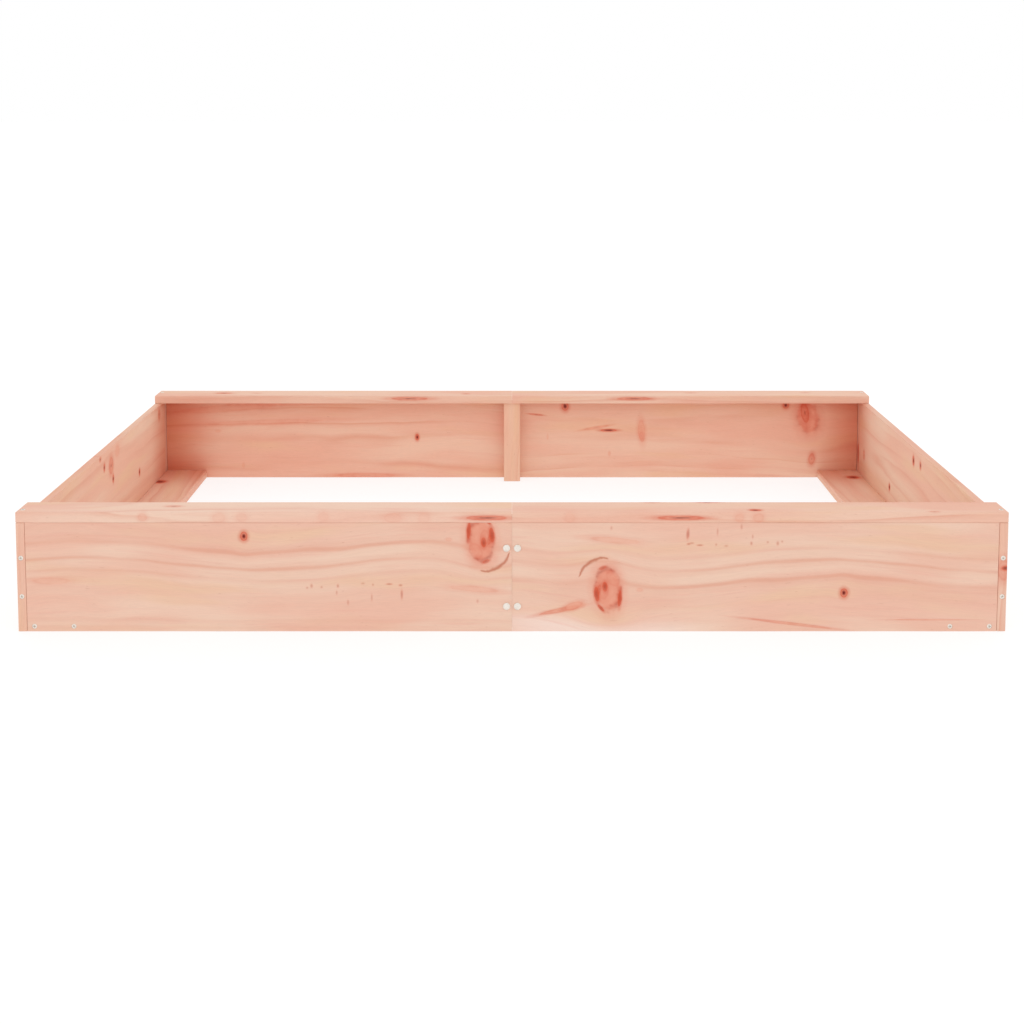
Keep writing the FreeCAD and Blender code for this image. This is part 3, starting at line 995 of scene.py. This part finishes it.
def battens():
    return [
        Timber("front_joint_batten", Z, X, 61, (10, -26), 12.0),
        Timber("back_joint_batten", Z, X, 66, (-9, -26), 12.0, contrast=0.8,
               tint=(0.97, 0.86, 0.79)),
    ]


def corner_post(end, side, seed):
    """The post at the front or back end of the left or right side. One shows a knot, and one a dark
    red streak in its inner corner, drawn with the knot pattern.
    """
    node = f"corner_post_{end}_{side}"
    low, high = np.array(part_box(node)) / MM
    outer, inner, inwards = (high[X], low[X], -1) if side == "right" else (low[X], high[X], 1)
    face, sandward = (high[Y], -1) if end == "back" else (low[Y], 1)
    features = {
        "corner_post_front_right": (
            knot((outer - 5, face, 101), (20, 12, 12), red=0.7, heart=0, strength=0.55),
            knot((outer - 3, face, 104), (4, 7, 8), red=1.0, heart=0.7, heart_size=0.8,
                 strength=0.9),
        ),
        # A dark red streak in the inner corner, drawn with the knot pattern
        "corner_post_back_right": (
            knot((inner, face - 21, 58), (24, 9, 8), red=1.0, heart=0.3, heart_size=0.8,
                 strength=0.8),
        ),
    }.get(node, ())
    # Painted shade darkens each post along its inner edge, by the seam with the boards
    return Timber(node, Z, X, seed, (4, -16), 8.0, features, contrast=0.9,
                  tint=(0.94, 0.86, 0.84), inner=sandward, painted_shade=((1, inwards, 8, 0.7),))


def list_timber():
    """Every wooden piece with its cut, rings, knots and checks."""
    walls = front_boards() + back_boards() + side_boards()
    corners = (("front", "left"), ("front", "right"), ("back", "left"), ("back", "right"))
    posts = [corner_post(end, side, 71 + 5 * i) for i, (end, side) in enumerate(corners)]
    return walls + cap_rails() + bottom_planks() + battens() + posts


def make_timber():
    """Builds, paints and places every wooden piece. Returns them by node name."""
    made = {}
    for timber in list_timber():
        piece = add_object(f"{timber.node}_wood", timber_mesh(timber))
        piece.data.materials.append(softwood(timber))
        made[timber.node] = piece
    return made


# ---------------------------------------------------------------- fastener trees

TURNED_SIDES = 36
CROWN = 0.04 * MM  # how far a flat screw face rises to its middle
MERGE_DISTANCE = 0.004 * MM
SHARP_EDGE = 0.6  # radians


def raised(draw, solid, height):
    """The solid moved up to a height."""
    place = {"Geometry": solid, "Translation": draw.join(0.0, 0.0, height)}
    return draw.fed("GeometryNodeTransform", place).outputs["Geometry"]


def together(draw, solids):
    """The solids as one geometry."""
    made = draw.node("GeometryNodeJoinGeometry")
    for solid in solids:
        draw.feed(made.inputs["Geometry"], solid)
    return made.outputs["Geometry"]


def lathe(draw, outline):
    """Closed turned solid about Z from (radius, height) pairs, from the lowest one upwards."""
    rings = []
    for (radius, height), (next_radius, next_height) in zip(outline, outline[1:]):
        ring = draw.fed("GeometryNodeMeshCone", {
            "Vertices": TURNED_SIDES,
            "Radius Bottom": radius,
            "Radius Top": next_radius,
            "Depth": draw.maths("SUBTRACT", next_height, height),
        }, fill_type="NONE")
        rings.append(raised(draw, ring.outputs["Mesh"], height))
    merge = {"Geometry": together(draw, rings), "Distance": MERGE_DISTANCE}
    return draw.fed("GeometryNodeMergeByDistance", merge).outputs["Geometry"]


def cross_recess(draw, length, width, depth):
    """The two crossed, tapered arms of a cross recess, as separate closed solids."""
    size = draw.join(length, width, draw.product(depth, 2.0))
    arm = draw.fed("GeometryNodeMeshCube", {"Size": size}).outputs["Mesh"]
    place = draw.node("GeometryNodeInputPosition").outputs[0]
    wide = draw.maths("MULTIPLY_ADD", draw.maths("DIVIDE", draw.split(place)[Z], depth), 0.3, 1.0)
    spread = draw.vector("MULTIPLY", place, draw.join(wide, wide, 1.0))
    tapered = draw.fed("GeometryNodeSetPosition", {"Geometry": arm, "Position": spread})
    tapered = tapered.outputs["Geometry"]
    turn = {"Geometry": tapered, "Rotation": (0, 0, math.radians(90))}
    return tapered, draw.fed("GeometryNodeTransform", turn).outputs["Geometry"]


def screw_thread(draw, core, outer, start, length, pitch):
    """Ridge that winds up the core from its lowest height."""
    spiral = draw.fed("GeometryNodeCurveSpiral", {
        "Resolution": 14,
        "Rotations": draw.maths("DIVIDE", length, pitch),
        "Start Radius": core,
        "End Radius": core,
        "Height": length,
    })
    width = draw.maths("SUBTRACT", outer, core)
    ridge = draw.fed("GeometryNodeCurvePrimitiveCircle", {"Resolution": 4, "Radius": width})
    wound = draw.fed("GeometryNodeCurveToMesh", {
        "Curve": spiral.outputs["Curve"],
        "Profile Curve": ridge.outputs["Curve"],
        "Fill Caps": True,
    })
    return raised(draw, wound.outputs["Mesh"], start)


def screw_shank(draw, given, core_share, plain_share):
    """Outline of a screw from its tip to its plain neck, and its thread."""
    shank = draw.product(given["Shank Diameter"], 0.5)
    core = draw.product(shank, core_share)
    tip = draw.product(given["Length"], -1.0)
    tip_end = draw.maths("ADD", tip, given["Tip Length"])
    plain = draw.product(given["Length"], -plain_share)
    plain_end = draw.maths("SUBTRACT", plain, shank)
    reach = draw.maths("SUBTRACT", plain_end, tip_end)
    thread = screw_thread(draw, core, shank, tip_end, reach, given["Thread Pitch"])
    return [(0.0, tip), (core, tip_end), (core, plain_end), (shank, plain)], thread


def set_on_seats(draw, given, out, shape):
    """Stands shape on every seat, +Z outwards, each turned by a random angle, as one mesh."""
    outwards = draw.fed("GeometryNodeInputNamedAttribute", {"Name": "outwards"},
                        data_type="FLOAT_VECTOR").outputs["Attribute"]
    aimed = draw.fed("FunctionNodeAlignRotationToVector", {"Vector": outwards}, axis="Z")
    chance = draw.fed("FunctionNodeRandomValue", {"Seed": given["Seed"]}, data_type="FLOAT")
    chance.inputs[3].default_value = 2 * math.pi
    angle = {"Axis": (0, 0, 1), "Angle": chance.outputs[1]}
    spin = draw.fed("FunctionNodeAxisAngleToRotation", angle)
    turned = draw.fed("FunctionNodeRotateRotation", {
        "Rotation": aimed.outputs["Rotation"], "Rotate By": spin.outputs["Rotation"],
    }, rotation_space="LOCAL")
    stood = draw.fed("GeometryNodeInstanceOnPoints", {
        "Points": given["Seats"], "Instance": shape, "Rotation": turned.outputs["Rotation"],
    }).outputs["Instances"]
    real = draw.fed("GeometryNodeRealizeInstances", {"Geometry": stood}).outputs["Geometry"]
    smooth = draw.fed("GeometryNodeSetShadeSmooth", {"Geometry": real}, domain="FACE")
    bent = draw.node("GeometryNodeInputMeshEdgeAngle").outputs["Unsigned Angle"]
    crisp = draw.fed("GeometryNodeSetShadeSmooth", {
        "Geometry": smooth.outputs["Geometry"],
        "Selection": draw.maths("GREATER_THAN", bent, SHARP_EDGE),
        "Shade Smooth": False,
    }, domain="EDGE").outputs["Geometry"]
    finished = {"Geometry": crisp, "Material": given["Finish"]}
    finish = draw.fed("GeometryNodeSetMaterial", finished)
    draw.feed(out["Geometry"], finish.outputs["Geometry"])


def fastener_tree(name, sizes):
    """Empty tree for one kind of fastener, with an input for each of its sizes."""
    inputs = (("Seats", GEOMETRY), ("Finish", MATERIAL), ("Seed", "NodeSocketInt"))
    inputs += tuple((label, FLOAT) for label in sizes)
    return group_tree(name, inputs, (("Geometry", GEOMETRY),), "GeometryNodeTree")


def make_wood_screw_tree():
    """Countersunk screws with a cross recess and a thread. The seat is the head's face."""
    tree, draw, given, out = fastener_tree("wood_screws", (
        "Head Diameter", "Head Rim", "Shank Diameter", "Length", "Tip Length", "Thread Pitch",
        "Recess Length", "Recess Width", "Recess Depth",
    ))
    outline, thread = screw_shank(draw, given, core_share=0.72, plain_share=0.4)
    shank = outline[-1][0]
    head = draw.product(given["Head Diameter"], 0.5)
    rim = draw.product(given["Head Rim"], -1.0)
    neck = draw.maths("SUBTRACT", rim, draw.maths("SUBTRACT", head, shank))
    chamfer = draw.product(given["Head Rim"], 0.4)
    blank = lathe(draw, outline + [
        (shank, neck),
        (head, rim),
        (head, draw.product(chamfer, -1.0)),
        (draw.maths("SUBTRACT", head, chamfer), -CROWN),
        (0.0, 0.0),
    ])
    recessed = draw.node("GeometryNodeMeshBoolean", operation="DIFFERENCE", solver="MANIFOLD")
    draw.feed(recessed.inputs["Mesh 1"], blank)
    sizes = (given["Recess Length"], given["Recess Width"], given["Recess Depth"])
    for arm in cross_recess(draw, *sizes):
        draw.feed(recessed.inputs["Mesh 2"], arm)
    set_on_seats(draw, given, out, together(draw, (recessed.outputs["Mesh"], thread)))
    return tree


DOME_STEPS = 8
DOME_SHARE = 0.86  # of the head's height. The rest is its straight rim.


def make_joint_screw_tree():
    """Screws with a plain domed head that stands on the wood. The seat is the dome's top."""
    tree, draw, given, out = fastener_tree("joint_screws", (
        "Head Diameter", "Head Height", "Shank Diameter", "Length", "Tip Length", "Thread Pitch",
    ))
    outline, thread = screw_shank(draw, given, core_share=0.8, plain_share=0.5)
    head = draw.product(given["Head Diameter"], 0.5)
    under = draw.product(given["Head Height"], -1.0)
    outline += [(outline[-1][0], under), (head, under)]
    for step in range(DOME_STEPS):
        turn = math.radians(90) * step / DOME_STEPS
        height = draw.product(under, DOME_SHARE * (1 - math.sin(turn)))
        outline.append((draw.product(head, math.cos(turn)), height))
    outline.append((0.0, 0.0))
    set_on_seats(draw, given, out, together(draw, (lathe(draw, outline), thread)))
    return tree


def make_hole_tree():
    """Solids that cut a stepped hole with a coned mouth. The seat is the fastener's face."""
    tree, draw, given, out = fastener_tree("drilled_holes", (
        "Mouth Diameter", "Mouth Depth", "Bore Diameter", "Length", "Overrun",
    ))
    mouth = draw.product(given["Mouth Diameter"], 0.5)
    bore = draw.product(given["Bore Diameter"], 0.5)
    bottom = draw.product(given["Length"], -1.0)
    rim = draw.product(given["Mouth Depth"], -1.0)
    neck = draw.maths("SUBTRACT", rim, draw.maths("SUBTRACT", mouth, bore))
    above = given["Overrun"]
    cutter = lathe(draw, (
        (0.0, draw.maths("SUBTRACT", bottom, CROWN)),
        (bore, bottom),
        (bore, neck),
        (mouth, rim),
        (mouth, above),
        (0.0, draw.maths("ADD", above, CROWN)),
    ))
    set_on_seats(draw, given, out, cutter)
    return tree


WOOD_SCREW_TREE = make_wood_screw_tree()
JOINT_SCREW_TREE = make_joint_screw_tree()
HOLE_TREE = make_hole_tree()


# ---------------------------------------------------------------- fasteners

WOOD_SCREW_SIZES = {
    "Head Rim": 0.6 * MM,
    "Shank Diameter": 4.0 * MM,
    "Tip Length": 6.0 * MM,
    "Thread Pitch": 1.8 * MM,
    "Recess Length": 4.4 * MM,
    "Recess Width": 1.2 * MM,
    "Recess Depth": 1.7 * MM,
}
JOINT_SCREW_SIZES = {
    "Head Height": 2.6 * MM,
    "Shank Diameter": 5.0 * MM,
    "Tip Length": 6.0 * MM,
    "Thread Pitch": 1.4 * MM,
}
CLEARANCE = 0.3 * MM  # on the diameter and the depth of a screw's hole
MOUTH_CLEARANCE = 0.1 * MM  # on the diameter of a countersunk mouth
DOWEL_CLEARANCE = 0.1 * MM
OVERRUN = 2.0 * MM  # how far a cutter stands out of the wood
NEAR = 1.0 * MM  # a fastener this close to a board goes into it
SAME_POINT = 0.001 * MM
HEAD_SHARE = 0.95  # of a fastener's greatest radius: points beyond it belong to its head


class Fasteners:
    """The like fasteners of one CAD node: where their outer ends are and which way they face."""

    def __init__(self, node):
        self.node = node
        self.seats = []
        self.outwards = []
        for points in loose_parts(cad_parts[node]):
            low, high = points.min(axis=0), points.max(axis=0)
            axis = int(np.argmax(high - low))
            middle = (low + high) / 2
            others = [a for a in (X, Y, Z) if a != axis]
            away = np.linalg.norm(points[:, others] - middle[others], axis=1)
            wide = points[away > HEAD_SHARE * away.max(), axis]
            side = 1.0 if wide.mean() > middle[axis] else -1.0
            seat = middle.copy()
            seat[axis] = high[axis] if side > 0 else low[axis]
            direction = np.zeros(3)
            direction[axis] = side
            self.seats.append(seat)
            self.outwards.append(direction)
            self.length = (high - low)[axis]
            self.diameter = 2 * away.max()

    def near(self, box):
        """The numbers of the fasteners that go into a box of two corners."""
        low, high = np.array(box)
        found = []
        for number, (seat, direction) in enumerate(zip(self.seats, self.outwards)):
            ends = np.array((seat, seat - direction * self.length))
            if np.all(ends.max(axis=0) > low - NEAR) and np.all(ends.min(axis=0) < high + NEAR):
                found.append(number)
        return found


def loose_parts(piece):
    """The points of each separate solid in a mesh, in a fixed order."""
    shape = bmesh.new()
    shape.from_mesh(piece.data)
    bmesh.ops.remove_doubles(shape, verts=shape.verts, dist=SAME_POINT)
    parts = []
    seen = set()
    for start in shape.verts:
        if start in seen:
            continue
        seen.add(start)
        queue = [start]
        for point in queue:
            for edge in point.link_edges:
                other = edge.other_vert(point)
                if other not in seen:
                    seen.add(other)
                    queue.append(other)
        parts.append(np.array([point.co[:] for point in queue]))
    shape.free()
    parts.sort(key=lambda points: tuple(points.min(axis=0).round(6)))
    return parts


def grown_mesh(name, tree, seats, outwards, values):
    """Plain mesh of a fastener tree standing on its seats."""
    mesh = bpy.data.meshes.new(name)
    mesh.from_pydata([tuple(seat) for seat in seats], [], [])
    facing = mesh.attributes.new("outwards", "FLOAT_VECTOR", "POINT")
    facing.data.foreach_set("vector", np.array(outwards, dtype=np.float32).ravel())
    piece = add_object(name, mesh)
    grower = piece.modifiers.new(name, "NODES")
    grower.node_group = tree
    for item in tree.interface.items_tree:
        if item.name in values:
            grower[item.identifier] = values[item.name]
    return settled(piece, values["Finish"])


def settled(piece, finish):
    """Takes a piece's modifiers into its mesh, removes them, and gives it one finish."""
    seen = piece.evaluated_get(bpy.context.evaluated_depsgraph_get())
    mesh = bpy.data.meshes.new_from_object(seen)
    piece.modifiers.clear()
    piece.data = mesh
    mesh.materials.clear()
    mesh.materials.append(finish)
    mesh.polygons.foreach_set("material_index", [0] * len(mesh.polygons))
    return piece


def hole_sizes(group):
    """Sizes of the hole for one kind of fastener, measured from its outer end."""
    length, depth, overrun = group.length + CLEARANCE, 0.0, OVERRUN
    if "dowels" in group.node:
        bore = mouth = group.diameter + DOWEL_CLEARANCE
        length, overrun = group.length, 0.0
    elif "joint_screws" in group.node:
        bore = mouth = JOINT_SCREW_SIZES["Shank Diameter"] + CLEARANCE
    else:
        bore = WOOD_SCREW_SIZES["Shank Diameter"] + CLEARANCE
        mouth, depth = group.diameter + MOUTH_CLEARANCE, WOOD_SCREW_SIZES["Head Rim"]
    return {
        "Mouth Diameter": mouth, "Mouth Depth": depth, "Bore Diameter": bore,
        "Length": length, "Overrun": overrun,
    }


def drill(piece, node, fasteners):
    """Cuts the holes of every fastener that goes into a wooden piece."""
    wood = piece.data.materials[0]
    tools = []
    for group in fasteners.values():
        chosen = group.near(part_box(node))
        if not chosen:
            continue
        seats = [group.seats[number] for number in chosen]
        outwards = [group.outwards[number] for number in chosen]
        sizes = dict(hole_sizes(group), Finish=wood)
        tools.append(grown_mesh(f"holes_in_{node}", HOLE_TREE, seats, outwards, sizes))
    for tool in tools:
        cutter = piece.modifiers.new("hole", "BOOLEAN")
        cutter.operation = "DIFFERENCE"
        cutter.solver = "MANIFOLD"
        cutter.object = tool
    if tools:
        settled(piece, wood)
        piece.data.set_sharp_from_angle(angle=SHARP_ANGLE)
    for tool in tools:
        bpy.data.objects.remove(tool)


def zinc():
    """Zinc-plated steel: fine brush marks, dull spots, slightly uneven gloss and a painted pink
    reflection.
    """
    material, draw, spot = start_material("zinc_plate")
    place = draw.vector("MULTIPLY", spot["Object"], (1 / MM, 1 / MM, 1 / MM))
    cloud = draw.noise(place, (0.22, 0.22, 0.22))
    scratch = draw.noise(place, (9.0, 2.0, 9.0), 2.0, 0.6, 4.0)
    colour = draw.mix(draw.step(cloud, 0.35, 0.7), ZINC_WITH_REFLECTION, ZINC_DULL_WITH_REFLECTION)
    rough = draw.step(scratch, 0.25, 0.75, 0.26, 0.44)
    fixed = {"Metallic": 0.85}
    end_material(draw, colour, rough, scratch, strength=0.3, depth=0.02 * MM, fixed=fixed)
    return material


def beech():
    """Pale turned beech with short dark flecks, for the dowels."""
    material, draw, spot = start_material("beech")
    place = draw.vector("MULTIPLY", spot["Object"], (1 / MM, 1 / MM, 1 / MM))
    streak = draw.noise(place, (0.9, 0.9, 0.05), 3.0, 0.6)
    flecks = draw.noise(place, (2.4, 2.4, 0.35), 2.0, 0.5, 3.0)
    colour = draw.mix(draw.step(streak, 0.3, 0.7), BEECH, BEECH_DARK)
    colour = draw.mix(draw.step(flecks, 0.62, 0.72, 0.0, 0.6), colour, BEECH_FLECK)
    end_material(draw, colour, 0.6, streak, strength=0.4, depth=0.1 * MM, fixed={})
    return material


def list_fasteners():
    """The screws and dowels of every CAD node that holds some, by node name."""
    names = [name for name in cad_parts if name.endswith(("_screws", "_dowels"))]
    return {name: Fasteners(name) for name in sorted(names)}


def make_screws(fasteners):
    """Detailed screws in place of the CAD ones. Returns them by node name."""
    finish = zinc()
    made = {}
    for number, (node, group) in enumerate(fasteners.items()):
        if "dowels" in node:
            continue
        joint = "joint_screws" in node
        values = dict(JOINT_SCREW_SIZES if joint else WOOD_SCREW_SIZES)
        values["Head Diameter"] = float(group.diameter)
        values["Length"] = float(group.length)
        values["Finish"] = finish
        values["Seed"] = number
        tree = JOINT_SCREW_TREE if joint else WOOD_SCREW_TREE
        made[node] = grown_mesh(f"{node}_zinc", tree, group.seats, group.outwards, values)
    return made


def finish_dowels():
    """The dowels keep their CAD shape and get a beech finish."""
    finish = beech()
    for name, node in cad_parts.items():
        if name.endswith("_dowels"):
            for slot in node.material_slots:
                slot.material = finish


# ---------------------------------------------------------------- studio

FLOOR_HALF = 40.0
FLOOR_GLOW = 0.72  # keeps the floor as light as the surroundings
LIGHTS = (
    # name, place, width, power in watts
    ("key_light", (-1.6, -3.2, 3.4), 2.6, 9),
    ("fill_light", (2.4, -1.2, 3.0), 2.2, 4),
)
LENS = 41.8  # mm, on a sensor of 36 mm
LENS_SHIFT = -0.32
CAMERA_Y = -2.242
CAMERA_Z = 0.8512
CAMERA_TILT = 0.0721  # radians below the horizon


def make_floor():
    material = bpy.data.materials.new("pale_floor")
    material.use_nodes = True
    finish = material.node_tree.nodes["Principled BSDF"]
    finish.inputs["Base Color"].default_value = STUDIO_FLOOR
    finish.inputs["Roughness"].default_value = 0.9
    finish.inputs["Emission Color"].default_value = (1, 1, 1, 1)
    finish.inputs["Emission Strength"].default_value = FLOOR_GLOW

    mesh = bpy.data.meshes.new("studio_floor")
    corners = [(x * FLOOR_HALF, y * FLOOR_HALF, 0) for x, y in ((-1, -1), (1, -1), (1, 1), (-1, 1))]
    mesh.from_pydata(corners, [], [(0, 1, 2, 3)])
    mesh.materials.append(material)
    floor = add_object("studio_floor", mesh)


def make_light():
    """Even white surroundings and two broad soft lights."""
    world = bpy.data.worlds.new("white_surroundings")
    world.use_nodes = True
    sky = world.node_tree.nodes["Background"]
    sky.inputs["Color"].default_value = (1, 1, 1, 1)
    sky.inputs["Strength"].default_value = 1.0
    bpy.context.scene.world = world

    for name, place, width, power in LIGHTS:
        light = bpy.data.lights.new(name, "AREA")
        light.size = width
        light.energy = power
        lamp = add_object(name, light)
        lamp.location = place
        lamp.rotation_euler = (-Vector(place)).to_track_quat("-Z", "Y").to_euler()


def make_camera():
    """Camera in front of the middle, a little above, with the lens shifted down."""
    lens = bpy.data.cameras.new("camera")
    lens.sensor_width = 36.0
    lens.lens = LENS
    lens.shift_y = LENS_SHIFT
    camera = add_object("camera", lens)
    camera.location = (0.0, CAMERA_Y, CAMERA_Z)
    camera.rotation_euler = (math.radians(90) - CAMERA_TILT, 0, 0)
    bpy.context.scene.camera = camera
    bpy.context.scene.view_settings.view_transform = "Standard"


# ---------------------------------------------------------------- whole object


def main():
    pieces = make_timber()
    fasteners = list_fasteners()
    for node, piece in pieces.items():
        drill(piece, node, fasteners)
    pieces.update(make_screws(fasteners))
    finish_dowels()
    for node, piece in pieces.items():
        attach(piece, "root")
        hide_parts(node)
    make_floor()
    make_light()
    make_camera()


main()
